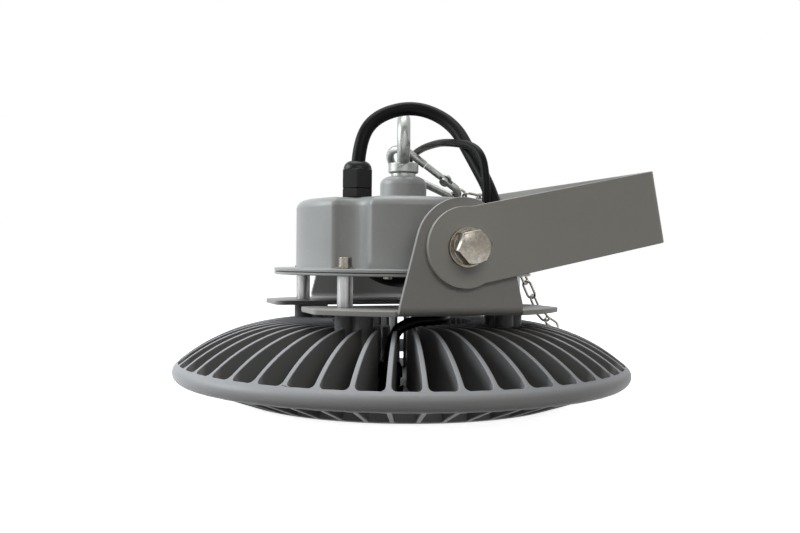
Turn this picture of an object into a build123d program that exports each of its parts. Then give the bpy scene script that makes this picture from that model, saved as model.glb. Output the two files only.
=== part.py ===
from build123d import *
import math
import os

# Round high bay light: a finned die-cast heat sink with the light opening below, two folded
# brackets on cast pillars, a driver housing carried on tube spacers, a tilting yoke, an eye
# bolt with a snap hook and a safety chain, and three leads.
# Origin on the fixture's axis at its flat bottom face. +Z up, yoke arms at -Y and +Y, and
# the yoke's cross bar reaches out to +X.

# Heat sink
RIM_R = 200.0
FIN_COUNT = 48
FIN_T_RIM = 4.0
FIN_T_HUB = 2.6
RIM_WALL = 5.3
SLOT_CORNER = 4.0
WELL_R = 62.0
FLOOR_Z = 16.0
CREST_Z = 66.6
CREST_R = 100.0
CREST_ARC_R = 148.0
RIM_MID_Z = 24.3
RIM_LOW_Z = 17.0
RIM_EDGE = 2.6
RIM_UNDER = 10.0

# Light opening
LENS_R = 125.8
LENS_T = 3.5
LENS_Z = 2.5
LENS_SEAT = 7.8
CAVITY_TOP = 11.0
SHELF_Z = 7.0
RING_BOTTOM = 0.2
RING_SCREW_STEP = 4.0
RING_SCREW_COUNT = 12
RING_EDGE = 4.2
BOTTOM_LAND = 8.0
BOARD_T = 1.6
LED_RING_RADII = (12.0, 34.0, 56.0, 78.0, 100.0)
LED_RING_COUNTS = (4, 12, 18, 24, 30)
LED_SIZE = 5.0
LED_T = 0.9

# Stack of pillars, bracket plates, spacers, base plate, gasket and housing
SCREW_X = 74.0
SCREW_Y = 71.0
PILLAR_X = 65.0
PILLAR_Y = 72.0
LOBE_R = 8.0
PLATE_Z = 78.5
PLATE_T = 4.0
SPACER_L = 25.0
SPACER_R = 6.3
BASE_T = 2.1
GASKET_T = 0.8
FLANGE_T = 2.8
FLANGE_R = 114.0
HOUSING_R = 95.0
HOUSING_TOP = 172.0
WALL = 3.5
FLUTE_R = 18.5
SCREW_D = 6.0
BASE_SCREW_R = 101.0
BASE_SCREW_TURN = 63.5

# Brackets and yoke
EAR_FACE = 135.3
EAR_ROUND = 38.0
EAR_HALF = 50.5
PLATE_ARC_R = 141.0
PLATE_HALF = 105.0
PLATE_BACK = 45.0
BEND_IN = 4.0
PIVOT_Z = 130.6
YOKE_GAP = 0.1
YOKE_T = 5.0
YOKE_HALF_W = 29.5
YOKE_END_R = 31.0
YOKE_REACH = 176.6
YOKE_BEND_R = 7.0
YOKE_SLOT_Y = 75.0
YOKE_SLOT_L = 26.0
YOKE_SLOT_W = 9.0
YOKE_HOLE_R = 6.5
YOKE_TILT = 11.7
BOLT_D = 16.0
BOLT_FIT = 0.15
NUT_AF = 24.0
NUT_T = 13.0
HEAD_T = 10.0
FLAT_WASHER_R = 15.0
FLAT_WASHER_T = 3.0
SPRING_WASHER_T = 3.5

# Eye bolt, hook and chain
NECK_TOP = 195.0
NECK_R = 20.8
NECK_ROOT_R = 4.0
NECK_EDGE_R = 8.0
EYE_WASHER_T = 3.3
EYE_COLLAR_R = 13.5
EYE_COLLAR_T = 9.0
EYE_RING_R = 19.5
EYE_WIRE_R = 5.8
EYE_TOP = 252.0
EYE_D = 12.0
EYE_TURN = -19.8
HOOK_BIG = (1.0, 19.0, 210.3)
HOOK_SMALL = (43.6, 13.9, 184.1)
HOOK_BIG_R = 15.3
HOOK_SMALL_R = 7.0
HOOK_WIRE_R = 3.5
GATE_R = 3.0
CHAIN_WIRE_R = 1.15
CHAIN_PITCH = 15.4
CHAIN_WIDTH = 10.4
CHAIN_SLACK = 0.4
JOIN_RING_R = 6.5

# Leads
MAINS_D = 11.6
DIM_D = 6.5
LED_LEAD_D = 9.0

SLOT_END_R = RIM_R - RIM_WALL
RING_IN_R = LENS_R - LENS_SEAT
CAVITY_R = RING_IN_R + 0.5
GASKET_IN_R = CAVITY_R + 1.0
BOARD_R = CAVITY_R - 1.5
RING_SCREW_R = LENS_R + RING_SCREW_STEP
RECESS_R = RING_SCREW_R + RING_EDGE
BOTTOM_R = RECESS_R + BOTTOM_LAND
PLATE_TOP = PLATE_Z + PLATE_T
BASE_Z = PLATE_TOP + SPACER_L
GASKET_Z = BASE_Z + BASE_T
FLANGE_Z = GASKET_Z + GASKET_T
FLANGE_TOP = FLANGE_Z + FLANGE_T
YOKE_IN = EAR_FACE + YOKE_GAP
YOKE_OUT = YOKE_IN + YOKE_T
EYE_Z = NECK_TOP + EYE_WASHER_T

os.makedirs("parts", exist_ok=True)


def save(name, shape):
    export_step(shape, "parts/" + name + ".step")


def ring(r_out, r_in, z, t):
    return Pos(0, 0, z) * extrude(Circle(r_out) - Circle(r_in), t)


def rod(r, z, t):
    return Pos(0, 0, z) * extrude(Circle(r), t)


def hex_prism(across_flats, z, t, chamfer_by=0.0):
    body = Pos(0, 0, z) * extrude(RegularPolygon(across_flats / 2, 6, major_radius=False), t)
    if chamfer_by:
        cone_r = across_flats / math.sqrt(3) + 0.01
        trim = Pos(0, 0, z) * extrude(Circle(cone_r), t)
        trim = chamfer(trim.edges().sort_by(Axis.Z)[-1], chamfer_by, chamfer_by * 1.7)
        body = body & trim
    return body


def turned(*points):
    # A turned solid from a closed outline of radius and height pairs
    return revolve(Plane.XZ * make_face(Polyline(*points, close=True)), Axis.Z)


def corners():
    # The four screw positions, front left first
    return [(sx * SCREW_X, sy * SCREW_Y) for sx in (-1, 1) for sy in (-1, 1)]


def group(pieces):
    return Compound(children=list(pieces))


def at_corners(piece):
    return group([Pos(x, y, 0) * piece for x, y in corners()])


def around(piece, count, start=0.0):
    return group([Rot(0, 0, start + i * 360 / count) * piece for i in range(count)])


def lead_route(points, name):
    # Straight runs joined by tangent arcs, each as large as its two runs allow
    pts = [Vector(*p) for p in points]
    radii = []
    for a, b, c in zip(pts, pts[1:], pts[2:]):
        turn = math.radians((b - a).get_angle(c - b))
        run = min((b - a).length, (c - b).length)
        radii.append(0.45 * run / math.tan(turn / 2))
    print(name, "radii", [round(r) for r in radii])
    return FilletPolyline(*pts, radius=radii)


def lead(points, diameter, name):
    path = lead_route(points, name)
    section = Plane(path @ 0, z_dir=path % 0) * Circle(diameter / 2)
    body = sweep(section, path=path)
    ideal = math.pi * diameter ** 2 / 4 * path.length
    print(name, "length", round(path.length, 1), "volume ratio", round(body.volume / ideal, 4))
    return body


# Heat sink: one revolved casting with the fins left between 48 slots
def crest_height(r):
    return CREST_Z - CREST_ARC_R + math.sqrt(CREST_ARC_R ** 2 - (r - CREST_R) ** 2)


crest_end = (RIM_R - RIM_EDGE, crest_height(RIM_R - RIM_EDGE))
crest_mid = (155.0, crest_height(155.0))
rim_under = (RIM_R - RIM_UNDER, RIM_LOW_Z)
outline = [
    Polyline((0, CAVITY_TOP), (CAVITY_R, CAVITY_TOP), (CAVITY_R, SHELF_Z), (RECESS_R, SHELF_Z),
             (RECESS_R, 0), (BOTTOM_R, 0), rim_under),
    ThreePointArc(rim_under, (RIM_R, RIM_MID_Z), crest_end),
    ThreePointArc(crest_end, crest_mid, (CREST_R, CREST_Z)),
    Polyline((CREST_R, CREST_Z), (WELL_R, CREST_Z), (WELL_R, FLOOR_Z), (0, FLOOR_Z),
             (0, CAVITY_TOP)),
]
casting = revolve(Plane.XZ * make_face(Curve() + outline), Axis.Z)


def slot_half(r):
    share = (r - WELL_R) / (SLOT_END_R - WELL_R)
    return math.pi * r / FIN_COUNT - (FIN_T_HUB + (FIN_T_RIM - FIN_T_HUB) * share) / 2


def slot_plan(r_in, r_out, corner):
    a = slot_half(r_in)
    b = slot_half(r_out)
    plan = make_face(Polyline((r_in, -a), (r_out, -b), (r_out, b), (r_in, a), close=True))
    if corner:
        plan = fillet(plan.vertices().group_by(Axis.X)[-1], corner)
    return plan


slot = Pos(0, 0, FLOOR_Z) * extrude(slot_plan(WELL_R - 6, SLOT_END_R, SLOT_CORNER), 70)
slot += Pos(0, 0, -1) * extrude(slot_plan(BOTTOM_R + 5, SLOT_END_R, SLOT_CORNER), FLOOR_Z + 2)
half_pitch = 180 / FIN_COUNT
casting = casting.cut(*[Rot(0, 0, half_pitch + i * 360 / FIN_COUNT) * slot for i in range(FIN_COUNT)])

# Pocket where the lead enters the light module
GLAND_POS = (-41.5, -87.0)
casting -= Pos(GLAND_POS[0], GLAND_POS[1], FLOOR_Z) * extrude(Circle(16.5), 60)

# Cast three-lobed pillars that carry the bracket plates
lobe_offset = (SCREW_X - PILLAR_X, SCREW_Y - PILLAR_Y)
plan = Pos(PILLAR_X, PILLAR_Y) * Circle(7.5)
for turn in (0, 120, 240):
    spot = Vector(*lobe_offset, 0).rotate(Axis.Z, turn)
    plan += Pos(PILLAR_X + spot.X, PILLAR_Y + spot.Y) * Circle(LOBE_R)
pillar = Pos(0, 0, FLOOR_Z) * extrude(plan, PLATE_Z - FLOOR_Z)
for mirror_x in (False, True):
    for mirror_y in (False, True):
        copy = pillar.mirror(Plane.YZ) if mirror_x else pillar
        copy = copy.mirror(Plane.XZ) if mirror_y else copy
        casting += copy
for x, y in corners():
    casting -= Pos(x, y, PLATE_Z - 22) * extrude(Circle(SCREW_D / 2), 30)
ring_screw_hole = Pos(RING_SCREW_R, 0, SHELF_Z - 0.1) * extrude(Circle(2), 3.1)
casting = casting.cut(*around(ring_screw_hole, RING_SCREW_COUNT).children)
save("heat_sink", casting)

# Light module in the bottom recess
board = rod(BOARD_R, CAVITY_TOP - BOARD_T, BOARD_T)
save("led_board", board)
chip = Pos(0, 0, CAVITY_TOP - BOARD_T - LED_T) * extrude(Rectangle(LED_SIZE, LED_SIZE), LED_T)
chips = []
for radius, count in zip(LED_RING_RADII, LED_RING_COUNTS):
    chips += [Rot(0, 0, i * 360 / count) * Pos(radius, 0, 0) * chip for i in range(count)]
save("leds", group(chips))
save("lens", chamfer(rod(LENS_R, LENS_Z, LENS_T).edges(), 0.6))
save("lens_gasket", ring(LENS_R, GASKET_IN_R, LENS_Z + LENS_T, SHELF_Z - LENS_Z - LENS_T))
lens_ring = turned((RING_IN_R, RING_BOTTOM), (RECESS_R - 0.4, RING_BOTTOM), (RECESS_R - 0.4, SHELF_Z),
                   (LENS_R + 0.3, SHELF_Z), (LENS_R + 0.3, LENS_Z), (RING_IN_R, LENS_Z))
sink = Pos(RING_SCREW_R, 0, RING_BOTTOM) * Cone(4.0, 2.1, 1.9, align=(Align.CENTER, Align.CENTER, Align.MIN))
sink += Pos(RING_SCREW_R, 0, RING_BOTTOM) * extrude(Circle(2.1), SHELF_Z)
lens_ring = lens_ring.cut(*around(sink, RING_SCREW_COUNT).children)
save("lens_ring", lens_ring)
ring_screw = Cone(3.9, 2.0, 1.9, align=(Align.CENTER, Align.CENTER, Align.MIN))
ring_screw += Pos(0, 0, 1.9) * extrude(Circle(2.0), SHELF_Z + 2.6 - RING_BOTTOM - 1.9)
ring_screw -= Pos(0, 0, -0.1) * extrude(RegularPolygon(1.25, 6), 1.3)
ring_screw = Pos(RING_SCREW_R, 0, RING_BOTTOM) * ring_screw
save("lens_ring_screws", around(ring_screw, RING_SCREW_COUNT))

# Lead entry gland in the pocket
entry = hex_prism(20, FLOOR_Z, 6, 0.8) + rod(8.4, FLOOR_Z + 6, 6) + hex_prism(19, FLOOR_Z + 12, 9)
entry += turned((0, FLOOR_Z + 21), (9.5, FLOOR_Z + 21), (7.6, FLOOR_Z + 25), (0, FLOOR_Z + 25))
entry -= Pos(0, 0, FLOOR_Z + 10) * extrude(Circle(LED_LEAD_D / 2 + 0.1), 20)
save("module_gland", Pos(GLAND_POS[0], GLAND_POS[1], 0) * entry)


# Brackets: a plate with a trapezoid ear folded up at the outer edge, round at the pivot
def bracket():
    bend_out = BEND_IN + PLATE_T
    bend_y = EAR_FACE - bend_out
    ear_base = PLATE_Z + bend_out
    plate = Circle(PLATE_ARC_R) & (Pos(0, PLATE_BACK + 60) * Rectangle(2 * PLATE_HALF, 120))
    plate = fillet(plate.vertices(), 9)
    front = Pos(0, bend_y + 30) * Rectangle(2 * EAR_HALF + 4, 60)
    plate = Pos(0, 0, PLATE_Z) * extrude(plate - front, PLATE_T)
    for sx in (-1, 1):
        plate -= Pos(sx * SCREW_X, SCREW_Y, PLATE_Z - 1) * extrude(Circle(SCREW_D / 2 + 0.3), 10)
    fold = Polyline((bend_y - 0.01, PLATE_Z), (bend_y, PLATE_Z))
    outer = CenterArc((bend_y, ear_base), bend_out, 270, 90)
    inner = CenterArc((bend_y, ear_base), BEND_IN, 270, 90)
    ends = [Line((EAR_FACE, ear_base), (EAR_FACE - PLATE_T, ear_base)),
            Line((bend_y, PLATE_Z), (bend_y, PLATE_TOP))]
    strip = Plane.YZ * make_face(Curve() + [outer, inner] + ends)
    strip = extrude(strip, EAR_HALF, both=True)
    reach = math.hypot(EAR_HALF, ear_base - PIVOT_Z)
    angle = math.atan2(ear_base - PIVOT_Z, EAR_HALF) + math.acos(EAR_ROUND / reach)
    tx = EAR_ROUND * math.cos(angle)
    tz = PIVOT_Z + EAR_ROUND * math.sin(angle)
    sides = [Polyline((-tx, tz), (-EAR_HALF, ear_base), (EAR_HALF, ear_base), (tx, tz)),
             ThreePointArc((tx, tz), (0, PIVOT_Z + EAR_ROUND), (-tx, tz))]
    face = make_face(Curve() + sides) - Pos(0, PIVOT_Z) * Circle(BOLT_D / 2 + 0.25)
    ear = Plane.XZ * face
    ear = Pos(0, EAR_FACE, 0) * extrude(ear, PLATE_T)
    return plate + strip + ear


rear = bracket()
save("rear_bracket", rear)
save("front_bracket", rear.mirror(Plane.XZ))

# Spacers and the long cap screws through flange, spacer and plate into the pillars
spacer = ring(SPACER_R, SCREW_D / 2 + 0.3, PLATE_TOP, SPACER_L)
save("spacers", at_corners(spacer))
TOOTHED_T = 1.2
LOCK_T = 1.6
seat = FLANGE_TOP + TOOTHED_T + LOCK_T
cap_screw = fillet(rod(5.3, seat, 6.5).edges().sort_by(Axis.Z)[-1], 0.8)
cap_screw += rod(SCREW_D / 2, PLATE_Z - 18, seat - PLATE_Z + 18)
cap_screw -= Pos(0, 0, seat + 3) * extrude(RegularPolygon(2.9, 6), 5)
save("cap_screws", at_corners(cap_screw))
lock_washer = ring(5.7, SCREW_D / 2 + 0.1, FLANGE_TOP + TOOTHED_T, LOCK_T)
lock_washer -= Pos(4.4, 0, seat - 0.8) * Rot(25, 0, 0) * Box(4, 0.9, 4)
save("spring_washers", at_corners(lock_washer))
tooth = Pos(7.0, 0, FLANGE_TOP) * Rot(0, 0, 20) * Box(1.8, 1.6, TOOTHED_T, align=(Align.CENTER, Align.CENTER, Align.MIN))
toothed = ring(6.7, SCREW_D / 2 + 0.2, FLANGE_TOP, TOOTHED_T)
toothed = toothed.fuse(*around(tooth, 12).children)
save("toothed_washers", at_corners(toothed))

# Driver housing: a fluted drum with a bolting flange and a domed neck
outer_plan = Circle(HOUSING_R)
inner_plan = Circle(HOUSING_R - WALL)
for x, y in corners():
    outer_plan -= Pos(x, y) * Circle(FLUTE_R)
    inner_plan -= Pos(x, y) * Circle(FLUTE_R + WALL)
outer_plan = fillet(outer_plan.vertices(), 5)
inner_plan = fillet(inner_plan.vertices(), 2)
drum = Pos(0, 0, FLANGE_Z) * extrude(outer_plan, HOUSING_TOP - FLANGE_Z)
drum = fillet(drum.edges().group_by(Axis.Z)[-1], 8)
flange = fillet(rod(FLANGE_R, FLANGE_Z, FLANGE_T).edges().sort_by(Axis.Z)[-1], 1.2)
root_x = NECK_R + NECK_ROOT_R
root_z = HOUSING_TOP + NECK_ROOT_R
edge_x = NECK_R - NECK_EDGE_R
edge_z = NECK_TOP - NECK_EDGE_R
bow = math.sqrt(0.5)
neck_line = [
    Polyline((0, NECK_TOP), (0, HOUSING_TOP - 7), (root_x, HOUSING_TOP - 7), (root_x, HOUSING_TOP)),
    ThreePointArc((root_x, HOUSING_TOP), (root_x - NECK_ROOT_R * bow, root_z - NECK_ROOT_R * bow),
                  (NECK_R, root_z)),
    Line((NECK_R, root_z), (NECK_R, edge_z)),
    ThreePointArc((NECK_R, edge_z), (edge_x + NECK_EDGE_R * bow, edge_z + NECK_EDGE_R * bow),
                  (edge_x, NECK_TOP)),
    Line((edge_x, NECK_TOP), (0, NECK_TOP)),
]
neck = revolve(Plane.XZ * make_face(Curve() + neck_line), Axis.Z)
housing = drum + flange + neck
housing -= Pos(0, 0, FLANGE_Z - 1) * extrude(inner_plan, HOUSING_TOP - 4 - FLANGE_Z + 1)
housing -= rod(EYE_D / 2 + 0.1, HOUSING_TOP - 22, 60)
for x, y in corners():
    housing -= Pos(x, y, FLANGE_Z - 1) * extrude(Circle(SCREW_D / 2 + 0.3), 20)
MAINS_POS = (-55.6, -41.6)
DIM_POS = (19.5, 48.3)
housing -= Pos(MAINS_POS[0], MAINS_POS[1], HOUSING_TOP - 12) * extrude(Circle(10.0), 20)
housing -= Pos(DIM_POS[0], DIM_POS[1], HOUSING_TOP - 12) * extrude(Circle(6.0), 20)
base_screw_spots = [Rot(0, 0, BASE_SCREW_TURN + a) * Pos(BASE_SCREW_R, 0, 0) for a in (0, 180)]
for spot in base_screw_spots:
    housing -= spot * Pos(0, 0, FLANGE_Z - 1) * extrude(Circle(1.6), 3.4)
save("driver_housing", housing)
seal = ring(112.5, 96.5, GASKET_Z, GASKET_T)
base = chamfer(rod(FLANGE_R, BASE_Z, BASE_T).edges().sort_by(Axis.Z)[0], 0.6)
for x, y in corners():
    seal -= Pos(x, y, GASKET_Z - 1) * extrude(Circle(SCREW_D / 2 + 0.3), 3)
    base -= Pos(x, y, BASE_Z - 1) * extrude(Circle(SCREW_D / 2 + 0.3), 5)
for spot in base_screw_spots:
    seal -= spot * Pos(0, 0, GASKET_Z - 1) * extrude(Circle(1.8), 3)
    base -= spot * Pos(0, 0, BASE_Z - 1) * extrude(Circle(1.8), 5)
PLUG_STUB_R = 14.0
base -= rod(PLUG_STUB_R + 0.05, BASE_Z - 1, 5)
save("housing_gasket", seal)
save("base_plate", base)
pan = Pos(0, 0, BASE_Z - 2.4) * extrude(Circle(3.4), 2.4)
pan = fillet(pan.edges().sort_by(Axis.Z)[0], 1.2)
pan += rod(1.6, BASE_Z, FLANGE_Z + 2 - BASE_Z)
pan -= Pos(0, 0, BASE_Z - 2.5) * extrude(Rectangle(3.6, 0.9) + Rectangle(0.9, 3.6), 1.2)
save("base_plate_screws", group([spot * pan for spot in base_screw_spots]))

# Rubber plug under the base plate and the electronics on it
PLUG_R = 31.0
PLUG_BULGE_R = 57.0
PLUG_DEPTH = 11.6
ball = Pos(0, 0, BASE_Z - PLUG_DEPTH + PLUG_BULGE_R) * Sphere(PLUG_BULGE_R)
plug = (ball & rod(PLUG_R, BASE_Z - PLUG_DEPTH - 1, PLUG_DEPTH + 1)) + rod(PLUG_STUB_R, BASE_Z, BASE_T + 1.2)
LED_EXIT = (7.0, 2.0, 97.0)
LED_TURN = (14.0, -18.0, 82.0)
exit_way = Vector(*LED_EXIT) - Vector(*LED_TURN)
plug -= Plane(origin=LED_TURN, z_dir=exit_way) * extrude(Circle(LED_LEAD_D / 2), exit_way.length)
save("base_plug", plug)
module = Pos(0, 22, GASKET_Z + 1.2) * extrude(fillet(Rectangle(118, 62).vertices(), 4), 34)
module = fillet(module.edges().group_by(Axis.Z)[-1], 1.5)
foot = Pos(0, 22, GASKET_Z) * extrude(Rectangle(138, 40) - Rectangle(90, 44), 3)
foot -= rod(PLUG_STUB_R + 2, GASKET_Z - 1, 4)
module = module - rod(PLUG_STUB_R + 2, GASKET_Z, 4) + foot
save("driver_module", module)

# Eye bolt with its washer and inner nut
save("eye_bolt_washer", ring(11.0, EYE_D / 2 + 0.2, NECK_TOP, EYE_WASHER_T))
collar = fillet(rod(EYE_COLLAR_R, EYE_Z, EYE_COLLAR_T).edges(), 1.4)
eye_center_z = EYE_TOP - EYE_RING_R - EYE_WIRE_R
eye = Pos(0, 0, eye_center_z) * Rot(0, 90, 0) * Torus(EYE_RING_R, EYE_WIRE_R)
eye_bolt = eye + collar + rod(EYE_D / 2, HOUSING_TOP - 20, EYE_Z - HOUSING_TOP + 20)
save("eye_bolt", Rot(0, 0, EYE_TURN) * eye_bolt)
save("eye_bolt_nut", hex_prism(19, HOUSING_TOP - 4 - 10, 10, 0.8) - rod(EYE_D / 2, HOUSING_TOP - 22, 30))


# Cable glands on the housing roof
def gland(af, thread_r, lead_d, height):
    low = HOUSING_TOP
    nut_z = low + height * 0.25
    dome_z = low + height * 0.77
    body = hex_prism(af, low, height * 0.24, 0.8) + rod(thread_r - 1.0, low, height * 0.6)
    body += rod(thread_r, low - 9, 9)
    body -= rod(lead_d / 2 + 0.8, low - 10, height + 20)
    cap = hex_prism(af, nut_z, dome_z - nut_z, 0.8)
    dome = [ThreePointArc((af * 0.49, dome_z), (af * 0.44, dome_z + height * 0.14),
                          (lead_d / 2 + 1.4, low + height)),
            Polyline((lead_d / 2 + 1.4, low + height), (0, low + height), (0, dome_z), (af * 0.49, dome_z))]
    cap += revolve(Plane.XZ * make_face(Curve() + dome), Axis.Z)
    cap -= rod(thread_r - 1.0, nut_z - 1, height * 0.6 - (nut_z - low) + 1)
    cap -= rod(lead_d / 2 + 0.1, low, height + 5)
    bush = ring(lead_d / 2 + 0.8, lead_d / 2, low + height * 0.3, height * 0.28)
    lock = hex_prism(af - 1.5, low - 8, 4) - rod(thread_r, low - 10, 10)
    return body, cap, bush, lock


for tag, spot, sizes in (("mains", MAINS_POS, (24.0, 9.9, MAINS_D, 30.0)),
                         ("dimming", DIM_POS, (17.0, 5.9, DIM_D, 24.0))):
    body, cap, bush, lock = gland(*sizes)
    place = Pos(spot[0], spot[1], 0) * Rot(0, 0, 12)
    save(tag + "_gland_body", place * body)
    save(tag + "_gland_cap", place * cap)
    save(tag + "_gland_seal", place * bush)
    save(tag + "_gland_locknut", place * lock)

# Leads, each along its route
MAINS_ROUTE = ((-55.6, -41.6, 190.0), (-55.6, -41.6, 222.0), (-39.0, -35.0, 245.0), (-3.0, -36.0, 253.0),
               (22.0, -58.0, 236.0), (28.5, -86.0, 205.0), (35.5, -110.0, 173.0),
               (38.5, -121.0, 137.0), (37.5, -122.0, 98.0))
DIM_ROUTE = ((19.5, 48.3, 184.0), (19.5, 48.3, 214.0), (21.5, 22.0, 225.5), (18.5, -30.0, 225.0),
             (13.5, -74.0, 220.5), (22.0, -112.0, 211.0), (25.2, -124.0, 181.0),
             (22.6, -123.4, 144.0), (22.0, -122.0, 106.0))
LED_ROUTE = (LED_EXIT, LED_TURN, (24.0, -48.0, 72.2), (4.0, -79.0, 72.4), (-27.0, -93.0, 72.6),
             (GLAND_POS[0], GLAND_POS[1], 61.0), (GLAND_POS[0], GLAND_POS[1], 37.0))
save("mains_lead", lead(MAINS_ROUTE, MAINS_D, "mains"))
save("dimming_lead", lead(DIM_ROUTE, DIM_D, "dimming"))
save("led_lead", lead(LED_ROUTE, LED_LEAD_D, "led"))


# Yoke: flat bar bent to a U, with rounded pivot ends and slots in the cross bar
def yoke_shape():
    reach_in = YOKE_REACH - YOKE_T
    outer = Pos(YOKE_REACH / 2, 0) * Rectangle(YOKE_REACH, 2 * YOKE_OUT)
    outer = fillet(outer.vertices().group_by(Axis.X)[-1], YOKE_BEND_R)
    inner = Pos(reach_in / 2, 0) * Rectangle(reach_in, 2 * YOKE_IN)
    inner = fillet(inner.vertices().group_by(Axis.X)[-1], YOKE_BEND_R - YOKE_T)
    bar = extrude(outer - inner, YOKE_HALF_W, both=True)
    for side in (-1, 1):
        y = YOKE_IN if side > 0 else -YOKE_OUT
        disc = Pos(0, y, 0) * Rot(-90, 0, 0) * extrude(Circle(YOKE_END_R), YOKE_T)
        bar += disc
        bar += Pos(-4.5, y + YOKE_T / 2, 0) * Box(11, YOKE_T, 2 * YOKE_HALF_W)
        bar -= Pos(0, y - 1, 0) * Rot(-90, 0, 0) * extrude(Circle((BOLT_D + BOLT_FIT) / 2), YOKE_T + 2)
        slot_plan_yoke = Rot(0, 0, 90) * SlotOverall(YOKE_SLOT_L, YOKE_SLOT_W)
        slot_cut = Rot(0, 90, 0) * extrude(slot_plan_yoke, 20, both=True)
        bar -= Pos(YOKE_REACH, side * YOKE_SLOT_Y, 0) * slot_cut
    bar -= Pos(YOKE_REACH, 0, 0) * Rot(0, 90, 0) * extrude(Circle(YOKE_HOLE_R), 20, both=True)
    return bar


place_yoke = Pos(0, 0, PIVOT_Z) * Rot(0, -YOKE_TILT, 0)
save("yoke", place_yoke * yoke_shape())

# Pivot bolts with flat and spring washers outside and nuts inside the ears
washer_z = YOKE_OUT + YOKE_GAP
spring_z = washer_z + FLAT_WASHER_T
head_z = spring_z + SPRING_WASHER_T
flat = chamfer(ring(FLAT_WASHER_R, 8.4, washer_z, FLAT_WASHER_T).edges().sort_by(Axis.Z)[-1], 0.5)
spring = ring(13.2, 8.1, spring_z, SPRING_WASHER_T)
spring -= Pos(10.6, 0, spring_z + 1.75) * Rot(22, 0, 0) * Box(7, 1.6, 8)
head = hex_prism(NUT_AF, head_z, HEAD_T, 1.2)
head += rod(BOLT_D / 2, EAR_FACE - PLATE_T - NUT_T - 2, head_z - EAR_FACE + PLATE_T + NUT_T + 2)
nut = hex_prism(NUT_AF, EAR_FACE - PLATE_T - NUT_T, NUT_T) - rod(BOLT_D / 2, EAR_FACE - 40, 60)
for name, piece, turn in (("pivot_washers", flat, 0), ("pivot_spring_washers", spring, 130),
                          ("pivot_bolts", head, 12), ("pivot_nuts", nut, 20)):
    pair = [Pos(0, 0, PIVOT_Z) * Rot(side * 90, 0, 0) * Rot(0, 0, turn) * piece for side in (-1, 1)]
    save(name, group(pair))

# Snap hook: a pear-shaped wire loop with a hinged gate in its upper limb
to_eye = Rot(0, 0, EYE_TURN)
big = Vector(*HOOK_BIG)
small = Vector(*HOOK_SMALL)
along = (small - big).normalized()
lean = Vector(0, -0.784, 0.621)
across = (lean - along * lean.dot(along)).normalized()
hook_plane = Plane(origin=big, x_dir=along, z_dir=along.cross(across))
span = (small - big).length
beta = math.asin((HOOK_BIG_R - HOOK_SMALL_R) / span)
big_up = Vector(HOOK_BIG_R * math.sin(beta), HOOK_BIG_R * math.cos(beta))
small_up = Vector(span + HOOK_SMALL_R * math.sin(beta), HOOK_SMALL_R * math.cos(beta))
limb = small_up - big_up
nose = big_up + limb * 0.34
pin = big_up + limb * 0.80
limb_angle = math.degrees(math.atan2(limb.Y, limb.X))
loop = [Line(nose, big_up),
        ThreePointArc(big_up, (-HOOK_BIG_R, 0), (big_up.X, -big_up.Y)),
        Line((big_up.X, -big_up.Y), (small_up.X, -small_up.Y)),
        ThreePointArc((small_up.X, -small_up.Y), (span + HOOK_SMALL_R, 0), (small_up.X, small_up.Y)),
        Line(small_up, pin)]
path = Curve() + loop
start = Plane(origin=(nose.X, nose.Y, 0), z_dir=(-limb.X, -limb.Y, 0))
hook = sweep(start * Circle(HOOK_WIRE_R), path=Wire(path.edges()))
at_pin = Pos(pin.X, pin.Y, 0) * Rot(0, 0, limb_angle)
hook += at_pin * extrude(Circle(4.4), 3.8, both=True)
hook -= at_pin * Box(13, 12, 3.3)
hook -= at_pin * extrude(Circle(1.25), 6, both=True)
gate_len = (pin - nose).length - 0.4
gate = Rot(0, -90, 0) * Pos(0, 0, 5.6) * extrude(Circle(GATE_R), gate_len - 5.6)
gate += Box(9.0, 5.6, 2.9, align=(Align.MAX, Align.CENTER, Align.CENTER))
gate += extrude(Circle(2.8), 1.45, both=True)
gate -= extrude(Circle(1.3), 4, both=True)
hook_place = to_eye * Location(hook_plane)
gate_place = hook_place * at_pin
save("snap_hook", hook_place * hook)
save("hook_gate", gate_place * gate)
save("gate_pin", gate_place * extrude(Circle(1.25), 3.8, both=True))
pin_world = gate_place.position
axis_world = Plane(gate_place).z_dir
print("gate hinge", [round(v, 3) for v in pin_world], [round(v, 4) for v in axis_world])

# Ring through the small end of the hook, upright and pointing outward
hook_tip = (hook_place * Pos(span + HOOK_SMALL_R, 0, 0)).position
wire_way = Plane(hook_place).y_dir
ring_out = Vector(0, 0, 1).cross(wire_way).normalized()
ring_mid = hook_tip + ring_out * (JOIN_RING_R - CHAIN_WIRE_R - HOOK_WIRE_R - 0.05)
join_ring = Plane(origin=ring_mid, x_dir=ring_out, z_dir=wire_way) * Torus(JOIN_RING_R, CHAIN_WIRE_R)
chain_start = ring_mid + ring_out * (JOIN_RING_R - CHAIN_WIRE_R - 0.1)

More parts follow.
